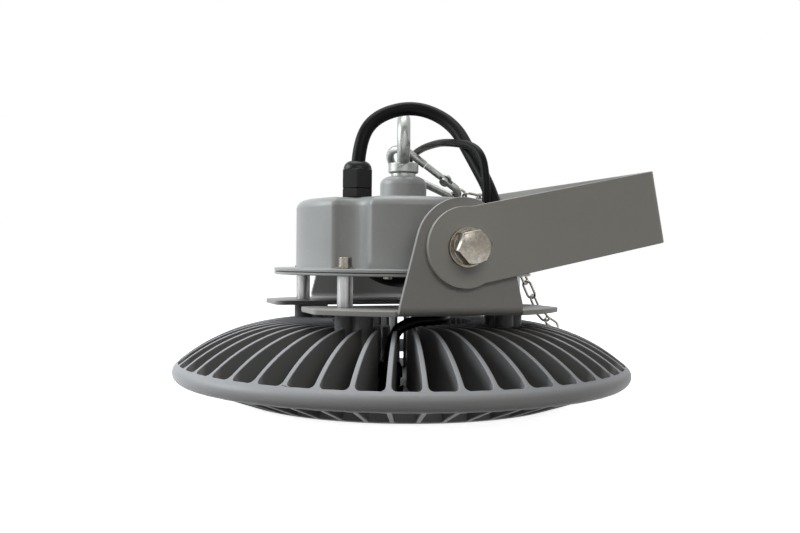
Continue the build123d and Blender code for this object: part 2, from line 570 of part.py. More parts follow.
# Safety chain: welded links from the ring over the housing and down onto the fins
CHAIN_ROUTE = ((70.2, -2.6, 178.7), (82.2, -2.0, 178.3), (94.8, -0.6, 175.8), (103.8, 1.6, 165.6),
               (107.3, 3.6, 153.1), (110.8, 5.0, 141.2), (114.9, 5.8, 129.2), (119.4, 6.0, 117.2),
               (124.8, 5.4, 106.0), (130.2, 5.0, 94.6), (136.0, 5.4, 83.3), (142.4, 7.0, 72.4),
               (150.6, 9.6, 65.1), (162.0, 12.0, 59.0), (176.6, 13.2, 50.8))
arc_w = CHAIN_WIDTH / 2 - CHAIN_WIRE_R
half_len = (CHAIN_PITCH + 2 * CHAIN_WIRE_R) / 2
side_len = half_len - arc_w
wire = Wire([Edge.make_line((-side_len, -arc_w, 0), (side_len, -arc_w, 0)),
             Edge.make_three_point_arc((side_len, -arc_w, 0), (half_len, 0, 0), (side_len, arc_w, 0)),
             Edge.make_line((side_len, arc_w, 0), (-side_len, arc_w, 0)),
             Edge.make_three_point_arc((-side_len, arc_w, 0), (-half_len, 0, 0), (-side_len, -arc_w, 0))])
link = sweep(Plane(origin=(-side_len, -arc_w, 0), z_dir=(1, 0, 0)) * Circle(CHAIN_WIRE_R), path=wire)


def walk(points, step):
    # Points along a polyline, each one step from the last in a straight line
    out = [Vector(*points[0])]
    i = 0
    while True:
        last = out[-1]
        while i + 1 < len(points) and (Vector(*points[i + 1]) - last).length < step:
            i += 1
        if i + 1 >= len(points):
            return out
        a = Vector(*points[i])
        b = Vector(*points[i + 1])
        lo, hi = 0.0, 1.0
        for _ in range(40):
            mid = (lo + hi) / 2
            if (a + (b - a) * mid - last).length < step:
                lo = mid
            else:
                hi = mid
        out.append(a + (b - a) * hi)


joints = walk([tuple(chain_start), *CHAIN_ROUTE], CHAIN_PITCH - CHAIN_SLACK)
links = [join_ring]
normal = Vector(0, -0.309, 0.951)
for k, (a, b) in enumerate(zip(joints, joints[1:])):
    way = (b - a).normalized()
    normal = (normal - way * normal.dot(way)).normalized()
    side_on = way.cross(normal)
    flat_side = normal + side_on if k % 2 else normal - side_on
    links.append(Plane(origin=(a + b) / 2, x_dir=way, z_dir=flat_side) * link)
print("chain start", chain_start, "ring", ring_mid, "links", len(links) - 1)
save("safety_chain", group(links))
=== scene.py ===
import math

import bmesh
import bpy
from mathutils import Matrix, Vector


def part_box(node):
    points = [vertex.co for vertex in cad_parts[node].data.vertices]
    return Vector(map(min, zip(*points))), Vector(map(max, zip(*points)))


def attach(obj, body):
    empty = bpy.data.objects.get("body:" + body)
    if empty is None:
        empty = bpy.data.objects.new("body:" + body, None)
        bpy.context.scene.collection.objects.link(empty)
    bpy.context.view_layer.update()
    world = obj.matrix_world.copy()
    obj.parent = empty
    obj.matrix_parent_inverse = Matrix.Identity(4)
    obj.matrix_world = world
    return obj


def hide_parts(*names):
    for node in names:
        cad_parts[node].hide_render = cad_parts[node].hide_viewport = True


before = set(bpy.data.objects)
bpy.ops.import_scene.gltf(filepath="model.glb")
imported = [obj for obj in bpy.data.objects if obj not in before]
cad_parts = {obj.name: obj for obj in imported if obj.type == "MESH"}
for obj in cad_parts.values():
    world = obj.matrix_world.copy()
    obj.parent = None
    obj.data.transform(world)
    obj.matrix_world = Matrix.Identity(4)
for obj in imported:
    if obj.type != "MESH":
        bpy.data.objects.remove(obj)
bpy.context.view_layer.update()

# Camera
# Stands at the photo's angle: in front of the light and to the left of the yoke, just above
# the level of the driver housing's roof, and looks almost level.
AXIS_TURN = math.radians(19.8)
LOOK_DOWN = math.radians(0.5)
ROLL = math.radians(0.57)
EYE_SIDE = -0.0022
EYE_BACK = 0.7788
EYE_HEIGHT = 0.1215
FILM_WIDTH = 36.0
FOCAL_LENGTH = 38.99


def from_view(side, back, up):
    turned_x = side * math.cos(AXIS_TURN) + back * math.sin(AXIS_TURN)
    turned_y = -side * math.sin(AXIS_TURN) + back * math.cos(AXIS_TURN)
    return Vector((turned_x, turned_y, up))


look = from_view(0, math.cos(LOOK_DOWN), -math.sin(LOOK_DOWN))
level_right = from_view(1, 0, 0)
level_up = from_view(0, math.sin(LOOK_DOWN), math.cos(LOOK_DOWN))
cam_right = level_right * math.cos(ROLL) + level_up * math.sin(ROLL)
cam_up = level_up * math.cos(ROLL) - level_right * math.sin(ROLL)
cam_data = bpy.data.cameras.new("camera")
cam_data.sensor_width = FILM_WIDTH
cam_data.lens = FOCAL_LENGTH
cam_data.clip_start = 0.01
camera = bpy.data.objects.new("camera", cam_data)
bpy.context.scene.collection.objects.link(camera)
camera.matrix_world = Matrix.Translation(from_view(EYE_SIDE, -EYE_BACK, EYE_HEIGHT)) @ Matrix(
    (
        (cam_right.x, cam_up.x, -look.x, 0),
        (cam_right.y, cam_up.y, -look.y, 0),
        (cam_right.z, cam_up.z, -look.z, 0),
        (0, 0, 0, 1),
    )
)
bpy.context.scene.camera = camera
bpy.context.scene.view_settings.view_transform = "Standard"

# Floor and light
# A plain pale floor in a white surround. One wide window light stands on the left, one hangs
# overhead, and a weak warm one in front on the right fills in.
FLOOR_SIZE = 40.0
FLOOR_DROP = 0.0006
FLOOR_GLOW = 0.88
FLOOR_PALE = (0.9, 0.9, 0.9, 1)
FLOOR_BOUNCE = (0.05, 0.038, 0.03, 1)
SURROUND = 0.17
SURROUND_TINT = (0.93, 0.97, 1.0, 1)
LIT_SPOT = (0, 0, 0.1)


def new_material(name):
    material = bpy.data.materials.new(name)
    material.use_nodes = True
    tree = material.node_tree
    tree.nodes.clear()
    output = tree.nodes.new("ShaderNodeOutputMaterial")
    return material, tree, output


def seen_directly(tree):
    # 1 where the camera, a mirror-like surface or glass sees the surface, else 0
    path = tree.nodes.new("ShaderNodeLightPath")
    seen = path.outputs["Is Camera Ray"]
    for ray in ("Is Glossy Ray", "Is Transmission Ray"):
        either = tree.nodes.new("ShaderNodeMath")
        either.operation = "MAXIMUM"
        tree.links.new(seen, either.inputs[0])
        tree.links.new(path.outputs[ray], either.inputs[1])
        seen = either.outputs[0]
    return seen


floor_mesh = bpy.data.meshes.new("floor")
half = FLOOR_SIZE / 2
floor_mesh.from_pydata(
    [(-half, -half, 0), (half, -half, 0), (half, half, 0), (-half, half, 0)], [], [(0, 1, 2, 3)]
)
floor = bpy.data.objects.new("floor", floor_mesh)
bpy.context.scene.collection.objects.link(floor)
floor.location.z = -FLOOR_DROP
floor_paint, tree, output = new_material("floor_paint")
direct = seen_directly(tree)
dull = tree.nodes.new("ShaderNodeBsdfDiffuse")
dull.inputs["Color"].default_value = FLOOR_BOUNCE
pale = tree.nodes.new("ShaderNodeBsdfDiffuse")
pale.inputs["Color"].default_value = FLOOR_PALE
glow = tree.nodes.new("ShaderNodeEmission")
glow.inputs["Color"].default_value = (1, 1, 1, 1)
glow.inputs["Strength"].default_value = FLOOR_GLOW
bright = tree.nodes.new("ShaderNodeAddShader")
tree.links.new(pale.outputs[0], bright.inputs[0])
tree.links.new(glow.outputs[0], bright.inputs[1])
blend = tree.nodes.new("ShaderNodeMixShader")
tree.links.new(direct, blend.inputs[0])
tree.links.new(dull.outputs[0], blend.inputs[1])
tree.links.new(bright.outputs[0], blend.inputs[2])
tree.links.new(blend.outputs[0], output.inputs["Surface"])
floor_mesh.materials.append(floor_paint)

world = bpy.data.worlds.new("surround")
world.use_nodes = True
bpy.context.scene.world = world
tree = world.node_tree
tree.nodes.clear()
output = tree.nodes.new("ShaderNodeOutputWorld")
direct = seen_directly(tree)
soft = tree.nodes.new("ShaderNodeBackground")
soft.inputs["Color"].default_value = SURROUND_TINT
soft.inputs["Strength"].default_value = SURROUND
white = tree.nodes.new("ShaderNodeBackground")
white.inputs["Color"].default_value = (1, 1, 1, 1)
blend = tree.nodes.new("ShaderNodeMixShader")
tree.links.new(direct, blend.inputs[0])
tree.links.new(soft.outputs[0], blend.inputs[1])
tree.links.new(white.outputs[0], blend.inputs[2])
tree.links.new(blend.outputs[0], output.inputs["Surface"])


def window(name, place, width, height, power, colour):
    data = bpy.data.lights.new(name, "AREA")
    data.shape = "RECTANGLE"
    data.size = width
    data.size_y = height
    data.energy = power
    data.color = colour
    lamp = bpy.data.objects.new(name, data)
    bpy.context.scene.collection.objects.link(lamp)
    lamp.location = place
    lamp.rotation_euler = (Vector(LIT_SPOT) - Vector(place)).to_track_quat("-Z", "Y").to_euler()


window("window_left", from_view(-1.75, -0.1, 0.9), 1.3, 1.1, 28, (0.94, 0.98, 1.0))
window("window_top", from_view(-0.1, 0.25, 1.9), 1.5, 1.1, 20, (0.95, 0.98, 1.0))
window("window_front", from_view(0.5, -1.7, 1.1), 1.2, 0.7, 7.5, (1.0, 0.94, 0.85))

# Leads
# Three black round cables. The mains lead and the dimming lead rise out of their glands, arch
# over the roof and drop behind the yoke's front arm. The third joins housing and light module.
MM = 0.001
MAINS_D = 11.6 * MM
DIMMING_D = 6.5 * MM
MODULE_LEAD_D = 9.0 * MM
MAINS_ROUTE = (
    (-55.6, -41.6, 190), (-55.2, -41.6, 217), (-39, -36, 242), (-3, -36, 253), (23, -58, 237),
    (28.5, -86, 205), (35.5, -110, 173), (38.5, -121, 137), (37.5, -122, 98),
)
DIMMING_ROUTE = (
    (19.5, 48.3, 184), (19.5, 48.3, 212), (21.5, 22, 222.5), (18.5, -30, 222.5), (13.5, -74, 218),
    (22.5, -114, 210), (23.8, -124, 182), (22.6, -123.4, 144), (22, -122, 106),
)
MODULE_ROUTE = (
    (7, 2, 97), (14, -18, 82), (24, -48, 72.2), (4, -79, 72.4), (-27, -93, 72.6),
    (-41.5, -87, 61), (-41.5, -87, 37),
)


def link_object(name, data):
    made = bpy.data.objects.new(name, data)
    bpy.context.scene.collection.objects.link(made)
    return made


def shader_group(name, inputs, outputs):
    # An empty shader node group with named number inputs and outputs
    group = bpy.data.node_groups.new(name, "ShaderNodeTree")
    for label, value in inputs:
        made = group.interface.new_socket(label, in_out="INPUT", socket_type="NodeSocketFloat")
        made.default_value = value
    for label in outputs:
        group.interface.new_socket(label, in_out="OUTPUT", socket_type="NodeSocketFloat")
    return group, group.nodes.new("NodeGroupInput"), group.nodes.new("NodeGroupOutput")


def noise(tree, place, scale, detail=3.0, rough=0.5):
    made = tree.nodes.new("ShaderNodeTexNoise")
    made.inputs["Detail"].default_value = detail
    made.inputs["Roughness"].default_value = rough
    tree.links.new(place, made.inputs["Vector"])
    if isinstance(scale, (int, float)):
        made.inputs["Scale"].default_value = scale
    else:
        tree.links.new(scale, made.inputs["Scale"])
    return made.outputs[0]


def reckon(tree, how, a, b, limit=False):
    made = tree.nodes.new("ShaderNodeMath")
    made.operation = how
    made.use_clamp = limit
    for socket, value in zip(made.inputs, (a, b)):
        if isinstance(value, (int, float)):
            socket.default_value = value
        else:
            tree.links.new(value, socket)
    return made.outputs[0]


def stretch(tree, value, low, high):
    made = tree.nodes.new("ShaderNodeMapRange")
    made.inputs["From Min"].default_value = low
    made.inputs["From Max"].default_value = high
    tree.links.new(value, made.inputs["Value"])
    return made.outputs[0]


# Skin of paint, rubber and moulded plastic: a fine orange-peel height, a broad cloudiness and
# a light settling of dust
skin, inside, outside = shader_group(
    "skin", (("Grain", 900.0), ("Cloud", 14.0), ("Dust", 0.2)), ("Height", "Cloudiness", "Dust")
)
spot = skin.nodes.new("ShaderNodeTexCoord")
fine = noise(skin, spot.outputs["Object"], inside.outputs["Grain"], 2.0)
broad = noise(skin, spot.outputs["Object"], inside.outputs["Cloud"], 4.0, 0.6)
speck = noise(
    skin, spot.outputs["Object"], reckon(skin, "MULTIPLY", inside.outputs["Grain"], 0.4), 5.0, 0.7
)
skin.links.new(
    reckon(skin, "ADD", fine, reckon(skin, "MULTIPLY", broad, 0.3)), outside.inputs["Height"]
)
skin.links.new(stretch(skin, broad, 0.3, 0.7), outside.inputs["Cloudiness"])
dusted = reckon(skin, "MULTIPLY", stretch(skin, speck, 0.56, 0.7), inside.outputs["Dust"], True)
skin.links.new(dusted, outside.inputs["Dust"])


def mix_colour(tree, share, low, high):
    made = tree.nodes.new("ShaderNodeMix")
    made.data_type = "RGBA"
    tree.links.new(share, made.inputs["Factor"])
    for socket, value in ((made.inputs[6], low), (made.inputs[7], high)):
        if isinstance(value, tuple):
            socket.default_value = (*value, 1)
        else:
            tree.links.new(value, socket)
    return made.outputs[2]


def mix_number(tree, share, low, high):
    made = tree.nodes.new("ShaderNodeMix")
    made.data_type = "FLOAT"
    tree.links.new(share, made.inputs[0])
    made.inputs[2].default_value = low
    made.inputs[3].default_value = high
    return made.outputs[0]


def shade(red, green, blue):
    # A colour given in 0 to 255 as it is seen, turned into light
    return tuple(
        v / 255 / 12.92 if v <= 10.3 else ((v / 255 + 0.055) / 1.055) ** 2.4
        for v in (red, green, blue)
    )


def bump(tree, height, depth):
    made = tree.nodes.new("ShaderNodeBump")
    made.inputs["Distance"].default_value = depth
    made.inputs["Strength"].default_value = 1.0
    tree.links.new(height, made.inputs["Height"])
    return made.outputs[0]


def coated(
    name, dark, light, dust_colour, rough, depth, grain=900.0, cloud=14.0, dust=0.2, metal=0.0, gloss=0.4
):
    # Paint, rubber or plastic: two near tones in clouds, dust on top, and the skin's fine bumps
    material, tree, output = new_material(name)
    body = tree.nodes.new("ShaderNodeBsdfPrincipled")
    put = tree.nodes.new("ShaderNodeGroup")
    put.node_tree = skin
    put.inputs["Grain"].default_value = grain
    put.inputs["Cloud"].default_value = cloud
    put.inputs["Dust"].default_value = dust
    plain = mix_colour(tree, put.outputs["Cloudiness"], dark, light)
    tree.links.new(mix_colour(tree, put.outputs["Dust"], plain, dust_colour), body.inputs["Base Color"])
    tree.links.new(
        mix_number(tree, put.outputs["Cloudiness"], rough * 0.9, rough * 1.12),
        body.inputs["Roughness"]
    )
    tree.links.new(bump(tree, put.outputs["Height"], depth), body.inputs["Normal"])
    body.inputs["Metallic"].default_value = metal
    body.inputs["Specular IOR Level"].default_value = gloss
    tree.links.new(body.outputs[0], output.inputs["Surface"])
    return material


lead_jacket = coated(
    "lead_jacket", shade(11, 11, 12), shade(16, 16, 17), shade(44, 43, 41),
    0.36, 0.000006, 1400, 20, 0.08, gloss=0.08
)


def metres(route):
    return [Vector(p) * MM for p in route]


def run_lead(name, route, diameter, node):
    data = bpy.data.curves.new(name, "CURVE")
    data.dimensions = "3D"
    data.bevel_depth = diameter / 2
    data.bevel_resolution = 6
    data.resolution_u = 14
    data.use_fill_caps = True
    points = metres(route)
    spline = data.splines.new("NURBS")
    spline.points.add(len(points) - 1)
    for control, place in zip(spline.points, points):
        control.co = (*place, 1)
    spline.order_u = 3
    spline.use_endpoint_u = True
    data.materials.append(lead_jacket)
    lead = link_object(name, data)
    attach(lead, "fixture")
    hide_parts(node)


# The free ends are stripped: each core leaves the jacket in its own colour, with a bare tip
CORE_OUT = 7.5 * MM
TIP_OUT = 2.5 * MM
TIP_SHARE = 0.55
CORE_SPLAY = 1.25
CORE_SIDES = 14


def tube(bm, start, end, radius, material):
    # A closed round rod from one point to another
    way = end - start
    turn = way.to_track_quat("Z", "Y").to_matrix().to_4x4()
    place = Matrix.Translation((start + end) / 2) @ turn
    made = bmesh.ops.create_cone(
        bm, cap_ends=True, segments=CORE_SIDES, radius1=radius, radius2=radius,
        depth=way.length, matrix=place
    )
    for face in {face for vert in made["verts"] for face in vert.link_faces}:
        face.material_index = material


def stripped_end(name, route, core_r, spread, colours):
    end = metres(route)[-1]
    way = (end - metres(route)[-2]).normalized()
    side = way.orthogonal().normalized()
    bm = bmesh.new()
    for k in range(len(colours)):
        out = Matrix.Rotation(k * math.tau / len(colours), 3, way) @ side * spread
        tip = end + way * CORE_OUT + out * CORE_SPLAY
        tube(bm, end - way * 2 * MM + out, tip, core_r, k)
        tube(bm, tip - way * 0.5 * MM, tip + way * TIP_OUT, core_r * TIP_SHARE, len(colours))
    mesh = bpy.data.meshes.new(name)
    bm.to_mesh(mesh)
    bm.free()
    for colour in colours:
        mesh.materials.append(colour)
    mesh.materials.append(copper)
    made = link_object(name, mesh)
    made.data.shade_smooth()
    made.data.set_sharp_from_angle(angle=math.radians(40))
    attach(made, "fixture")
    return made


core_brown = coated(
    "core_brown", shade(78, 48, 32), shade(90, 57, 38), shade(110, 90, 76), 0.4, 0.00001, 900, 60,
    0.1
)
core_blue = coated(
    "core_blue", shade(34, 72, 140), shade(42, 84, 156), shade(90, 110, 150), 0.4, 0.00001, 900, 60,
    0.1
)
core_green = coated(
    "core_green", shade(46, 112, 52), shade(176, 172, 52), shade(120, 130, 90), 0.4, 0.00001, 900,
    160, 0.1
)
core_grey = coated(
    "core_grey", shade(120, 120, 122), shade(134, 134, 136), shade(150, 148, 144), 0.4, 0.00001,
    900, 60, 0.1
)
copper = coated(
    "copper", shade(168, 104, 66), shade(190, 122, 80), shade(120, 80, 56), 0.32, 0.00001, 1200, 80,
    0.2, metal=1.0
)
mains_cores = stripped_end(
    "mains_cores", MAINS_ROUTE, 1.7 * MM, 2.3 * MM, (core_brown, core_blue, core_green)
)
dimming_cores = stripped_end(
    "dimming_cores", DIMMING_ROUTE, 1.1 * MM, 1.4 * MM, (core_brown, core_grey)
)
run_lead("mains_cable", MAINS_ROUTE, MAINS_D, "mains_lead")
run_lead(
    "dimming_cable", DIMMING_ROUTE, DIMMING_D, "dimming_lead",
)
run_lead("module_cable", MODULE_ROUTE, MODULE_LEAD_D, "led_lead")

# Heat sink
# One aluminium die casting: a shallow dish with 48 radial fins round an open hub, a smooth
# bead at the rim and four lobed pillars. Shot blasted and powder coated mid grey.
CAST_DARK = shade(156, 157, 160)
CAST_LIGHT = shade(166, 167, 170)
# Painted shade for the fins' sides between the fins, and the limits of its mask
PAINTED_SIDE_SHADE = shade(120, 120, 121)
PAINTED_SHADE_SLOPE = 0.05, 0.5
RIM_INSIDE = 0.186, 0.19
SAME_POINT = 2e-6
FLAT_TURN = math.radians(0.6)
EASED_TURN = math.radians(32)
SMOOTH_TURN = math.radians(38)


def branch(tree, kind, settings=(), inputs=()):
    # A node with its settings and its inputs, each a plain value or another node's output
    made = tree.nodes.new(kind)
    for label, value in settings:
        setattr(made, label, value)
    for label, value in inputs:
        socket = made.inputs[label]
        if isinstance(value, bpy.types.NodeSocket):
            tree.links.new(value, socket)
        else:
            socket.default_value = value
    return made


def worked(node, body, name, material, edge=0.0, steps=2):
    # The node's own form as a clean closed mesh with its edges eased, in its finish
    bm = bmesh.new()
    bm.from_mesh(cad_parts[node].data)
    bmesh.ops.remove_doubles(bm, verts=bm.verts, dist=SAME_POINT)
    bmesh.ops.dissolve_limit(
        bm, angle_limit=FLAT_TURN, verts=bm.verts, edges=bm.edges, use_dissolve_boundaries=False
    )
    mesh = bpy.data.meshes.new(name)
    bm.to_mesh(mesh)
    bm.free()
    mesh.materials.append(material)
    made = link_object(name, mesh)
    if edge:
        ease = made.modifiers.new("ease", "BEVEL")
        ease.width = edge
        ease.segments = steps
        ease.limit_method = "ANGLE"
        ease.angle_limit = EASED_TURN
        ease.use_clamp_overlap = False
        ease.miter_outer = "MITER_ARC"
        made = settled(made)
    made.data.shade_smooth()
    made.data.set_sharp_from_angle(angle=SMOOTH_TURN)
    if edge:
        flat = made.modifiers.new("flat", "WEIGHTED_NORMAL")
        flat.keep_sharp = True
        made = settled(made)
    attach(made, body)
    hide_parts(node)
    return made


def settled(made):
    # Replaces a piece and its modifiers by the plain mesh that they give
    bpy.context.view_layer.update()
    ready = made.evaluated_get(bpy.context.evaluated_depsgraph_get())
    mesh = bpy.data.meshes.new_from_object(ready)
    mesh.name = made.name
    made.modifiers.clear()
    made.data = mesh
    return made


cast_paint_and_painted_shade = coated(
    "cast_paint_and_painted_shade", CAST_DARK, CAST_LIGHT, shade(170, 168, 166), 0.44, 0.00007, 700, 9, 0.3,
    gloss=0.25
)
# Painted shade: inside the rim the fins' sides are painted darker than their crests
gaps = cast_paint_and_painted_shade.node_tree
body = next(node for node in gaps.nodes if node.type == "BSDF_PRINCIPLED")
where = gaps.nodes.new("ShaderNodeTexCoord")
normal = branch(gaps, "ShaderNodeSeparateXYZ", (), ((0, where.outputs["Normal"]),)).outputs
place = branch(gaps, "ShaderNodeSeparateXYZ", (), ((0, where.outputs["Object"]),)).outputs
level = stretch(gaps, reckon(gaps, "MULTIPLY", normal["Z"], normal["Z"]), *PAINTED_SHADE_SLOPE)
across = reckon(
    gaps, "ADD", reckon(gaps, "MULTIPLY", place["X"], place["X"]), reckon(
        gaps, "MULTIPLY", place["Y"], place["Y"]
    )
)
free_of_painted_shade = reckon(gaps, "MAXIMUM", level, stretch(gaps, across, *(r * r for r in RIM_INSIDE)))
coat = body.inputs["Base Color"].links[0].from_socket
gaps.links.new(mix_colour(gaps, free_of_painted_shade, PAINTED_SIDE_SHADE, coat), body.inputs["Base Color"])
worked("heat_sink", "fixture", "finned_casting", cast_paint_and_painted_shade, 0.0008, 3)

# Light module
# A ring of the same casting colour holds a clear tempered glass against a silicone gasket,
# over a white board with rows of yellow chips. Twelve countersunk screws fix the ring.
worked("lens_ring", "fixture", "glass_ring", cast_paint_and_painted_shade, 0.0003)
STEEL_DARK = shade(124, 120, 113)
STEEL_LIGHT = shade(152, 149, 143)

# Worked metal: fine lines one way, blotches and a fine grain
worked_metal, inside, outside = shader_group(
    "worked_metal",
    (("Grain", 600.0), ("Stretch X", 1.0), ("Stretch Y", 1.0), ("Stretch Z", 1.0), ("Blotch", 60.0)),
    ("Height", "Line", "Blotches"),
)
spot = worked_metal.nodes.new("ShaderNodeTexCoord")
pull = worked_metal.nodes.new("ShaderNodeVectorMath")
pull.operation = "MULTIPLY"
join = worked_metal.nodes.new("ShaderNodeCombineXYZ")
for axis in "XYZ":
    worked_metal.links.new(inside.outputs["Stretch " + axis], join.inputs[axis])
worked_metal.links.new(spot.outputs["Object"], pull.inputs[0])
worked_metal.links.new(join.outputs[0], pull.inputs[1])
lines = noise(worked_metal, pull.outputs[0], inside.outputs["Grain"], 4.0, 0.6)
blotch = noise(worked_metal, spot.outputs["Object"], inside.outputs["Blotch"], 5.0, 0.65)
worked_metal.links.new(lines, outside.inputs["Height"])
worked_metal.links.new(stretch(worked_metal, lines, 0.35, 0.65), outside.inputs["Line"])
worked_metal.links.new(stretch(worked_metal, blotch, 0.35, 0.68), outside.inputs["Blotches"])


def metal(
    name, dark, light, stain, rough, depth, grain=600.0, pulls=(1, 1, 1), blotch=60.0, spread=0.5
):
    material, tree, output = new_material(name)
    body = tree.nodes.new("ShaderNodeBsdfPrincipled")
    put = tree.nodes.new("ShaderNodeGroup")
    put.node_tree = worked_metal
    put.inputs["Grain"].default_value = grain
    put.inputs["Blotch"].default_value = blotch
    for axis, value in zip("XYZ", pulls):
        put.inputs["Stretch " + axis].default_value = value
    plain = mix_colour(tree, put.outputs["Line"], dark, light)
    share = reckon(tree, "MULTIPLY", put.outputs["Blotches"], spread)
    tree.links.new(mix_colour(tree, share, plain, stain), body.inputs["Base Color"])
    tree.links.new(
        mix_number(tree, put.outputs["Blotches"], rough * 0.8, rough * 1.3),
        body.inputs["Roughness"]
    )
    tree.links.new(bump(tree, put.outputs["Height"], depth), body.inputs["Normal"])
    body.inputs["Metallic"].default_value = 1.0
    tree.links.new(body.outputs[0], output.inputs["Surface"])
    return material


stainless = metal(
    "stainless", STEEL_DARK, STEEL_LIGHT, shade(122, 106, 82), 0.3, 0.000008, 500, (1, 1, 1), 70,
    0.5
)
worked("lens_ring_screws", "fixture", "ring_screws", stainless)


def clothe(node, material):
    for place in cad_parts[node].material_slots:
        place.material = material


glass_clear, tree, output = new_material("glass_clear")
pane = tree.nodes.new("ShaderNodeBsdfPrincipled")
pane.inputs["Base Color"].default_value = (0.93, 0.96, 0.95, 1)
pane.inputs["Transmission Weight"].default_value = 1.0
pane.inputs["Roughness"].default_value = 0.02
pane.inputs["IOR"].default_value = 1.5
tree.links.new(pane.outputs[0], output.inputs["Surface"])
clothe("lens", glass_clear)
silicone = coated(
    "silicone", shade(58, 58, 58), shade(70, 70, 70), shade(110, 108, 104), 0.6, 0.00004, 900, 40,
    0.2
)
clothe("lens_gasket", silicone)
solder_mask = coated(
    "solder_mask", shade(226, 226, 222), shade(236, 236, 232), shade(200, 196, 188), 0.35, 0.00002
)
clothe("led_board", solder_mask)
phosphor = coated(
    "phosphor", shade(226, 196, 84), shade(240, 214, 110), shade(214, 200, 150), 0.5, 0.00003, 2500,
    200
)


def geometry_tree(name, inputs):
    tree = bpy.data.node_groups.new(name, "GeometryNodeTree")
    tree.interface.new_socket("Geometry", in_out="INPUT", socket_type="NodeSocketGeometry")
    tree.interface.new_socket("Geometry", in_out="OUTPUT", socket_type="NodeSocketGeometry")
    for label, kind in inputs:
        tree.interface.new_socket(label, in_out="INPUT", socket_type="NodeSocket" + kind)
    return tree, tree.nodes.new("NodeGroupInput").outputs, tree.nodes.new("NodeGroupOutput").inputs


def grown(name, tree, values, places, flags=()):
    # The tree's result over points, each with its place and its turn, as a plain mesh
    mesh = bpy.data.meshes.new(name + "_points")
    mesh.from_pydata([place.translation for place in places], [], [])
    facing = mesh.attributes.new("facing", "FLOAT_VECTOR", "POINT")
    facing.data.foreach_set("vector", [a for place in places for a in place.to_euler()])
    flag = mesh.attributes.new("special", "FLOAT", "POINT")
    flag.data.foreach_set("value", [1.0 if k in flags else 0.0 for k in range(len(places))])
    made = link_object(name, mesh)
    grow = made.modifiers.new("grow", "NODES")
    grow.node_group = tree
    names = {item.name: item.identifier for item in tree.interface.items_tree if item.in_out == "INPUT"}
    for label, value in values.items():
        grow[names[label]] = value
    return settled(made)


# A chip: a white square case with a domed yellow window, on the board's underside
DOME_HEIGHT = 0.35 * MM
DOME_TAPER = 0.62
DOME_SIDES = 14
chip_rows, given, result = geometry_tree(
    "chip_rows", (
        ("Size", "Float"), ("Height", "Float"), ("Window", "Float"), ("Case", "Material"),
        ("Phosphor", "Material")
    )
)
case_size = branch(
    chip_rows, "ShaderNodeCombineXYZ", (),
    (("X", given["Size"]), ("Y", given["Size"]), ("Z", given["Height"]))
)
case = branch(chip_rows, "GeometryNodeMeshCube", (), (("Size", case_size.outputs[0]),))
window_r = reckon(chip_rows, "MULTIPLY", given["Size"], given["Window"])
top_r = reckon(chip_rows, "MULTIPLY", window_r, DOME_TAPER)
dome = branch(
    chip_rows, "GeometryNodeMeshCone", (),
    (
        ("Vertices", DOME_SIDES), ("Radius Top", top_r), ("Radius Bottom", window_r),
        ("Depth", DOME_HEIGHT)
    ),
)
down = reckon(chip_rows, "MULTIPLY", given["Height"], -0.5)
lower = branch(chip_rows, "ShaderNodeCombineXYZ", (), (("Z", down),))
dome_down = branch(
    chip_rows, "GeometryNodeTransform", (),
    (
        ("Geometry", dome.outputs["Mesh"]), ("Translation", lower.outputs[0]),
        ("Rotation", (math.pi, 0, 0))
    ),
)
dome_known = branch(
    chip_rows, "GeometryNodeStoreNamedAttribute", (("data_type", "BOOLEAN"), ("domain", "FACE")),
    (("Geometry", dome_down.outputs[0]), ("Name", "window"), ("Value", True)),
)
chip = chip_rows.nodes.new("GeometryNodeJoinGeometry")
chip_rows.links.new(case.outputs["Mesh"], chip.inputs[0])
chip_rows.links.new(dome_known.outputs[0], chip.inputs[0])
turn = branch(
    chip_rows, "GeometryNodeInputNamedAttribute", (("data_type", "FLOAT_VECTOR"),),
    (("Name", "facing"),)
)
spread_out = branch(
    chip_rows, "GeometryNodeInstanceOnPoints", (),
    (("Points", given["Geometry"]), ("Instance", chip.outputs[0]), ("Rotation", turn.outputs[0])),
)
real = branch(chip_rows, "GeometryNodeRealizeInstances", (), (("Geometry", spread_out.outputs[0]),))
all_case = branch(
    chip_rows, "GeometryNodeSetMaterial", (),
    (("Geometry", real.outputs[0]), ("Material", given["Case"]))
)
is_dome = branch(
    chip_rows, "GeometryNodeInputNamedAttribute", (("data_type", "BOOLEAN"),), (("Name", "window"),)
)
dome_lit = branch(
    chip_rows, "GeometryNodeSetMaterial", (),
    (
        ("Geometry", all_case.outputs[0]), ("Selection", is_dome.outputs[0]),
        ("Material", given["Phosphor"])
    ),
)
chip_rows.links.new(dome_lit.outputs[0], result[0])
LED_RADII = (12, 34, 56, 78, 100)
LED_COUNTS = (4, 12, 18, 24, 30)
CHIP_SIZE = 5.0 * MM
CHIP_HEIGHT = 0.65 * MM
WINDOW_SHARE = 0.38
chip_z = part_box("leds")[1][2] - CHIP_HEIGHT / 2
chip_places = [
    Matrix.Rotation(k * math.tau / count, 4, "Z") @ Matrix.Translation((radius * MM, 0, chip_z))
    for radius, count in zip(LED_RADII, LED_COUNTS) for k in range(count)
]
led_rows = grown(
    "led_rows", chip_rows,
    {
        "Size": CHIP_SIZE, "Height": CHIP_HEIGHT, "Window": WINDOW_SHARE,
        "Case": solder_mask, "Phosphor": phosphor,
    },
    chip_places
)
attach(led_rows, "fixture")
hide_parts("leds")

# Brackets
# Two pieces of 4 mm sheet, laser cut and folded, that lie on the casting's pillars and carry
# the pivots in their ears. Powder coated in a darker grey.
sheet_paint = coated(
    "sheet_paint", shade(148, 147, 145), shade(157, 156, 154), shade(172, 170, 166), 0.5, 0.00007,
    1100, 10, 0.3
)
for node, name in (("front_bracket", "front_ear_plate"), ("rear_bracket", "rear_ear_plate")):
    worked(node, "fixture", name, sheet_paint, 0.0005)

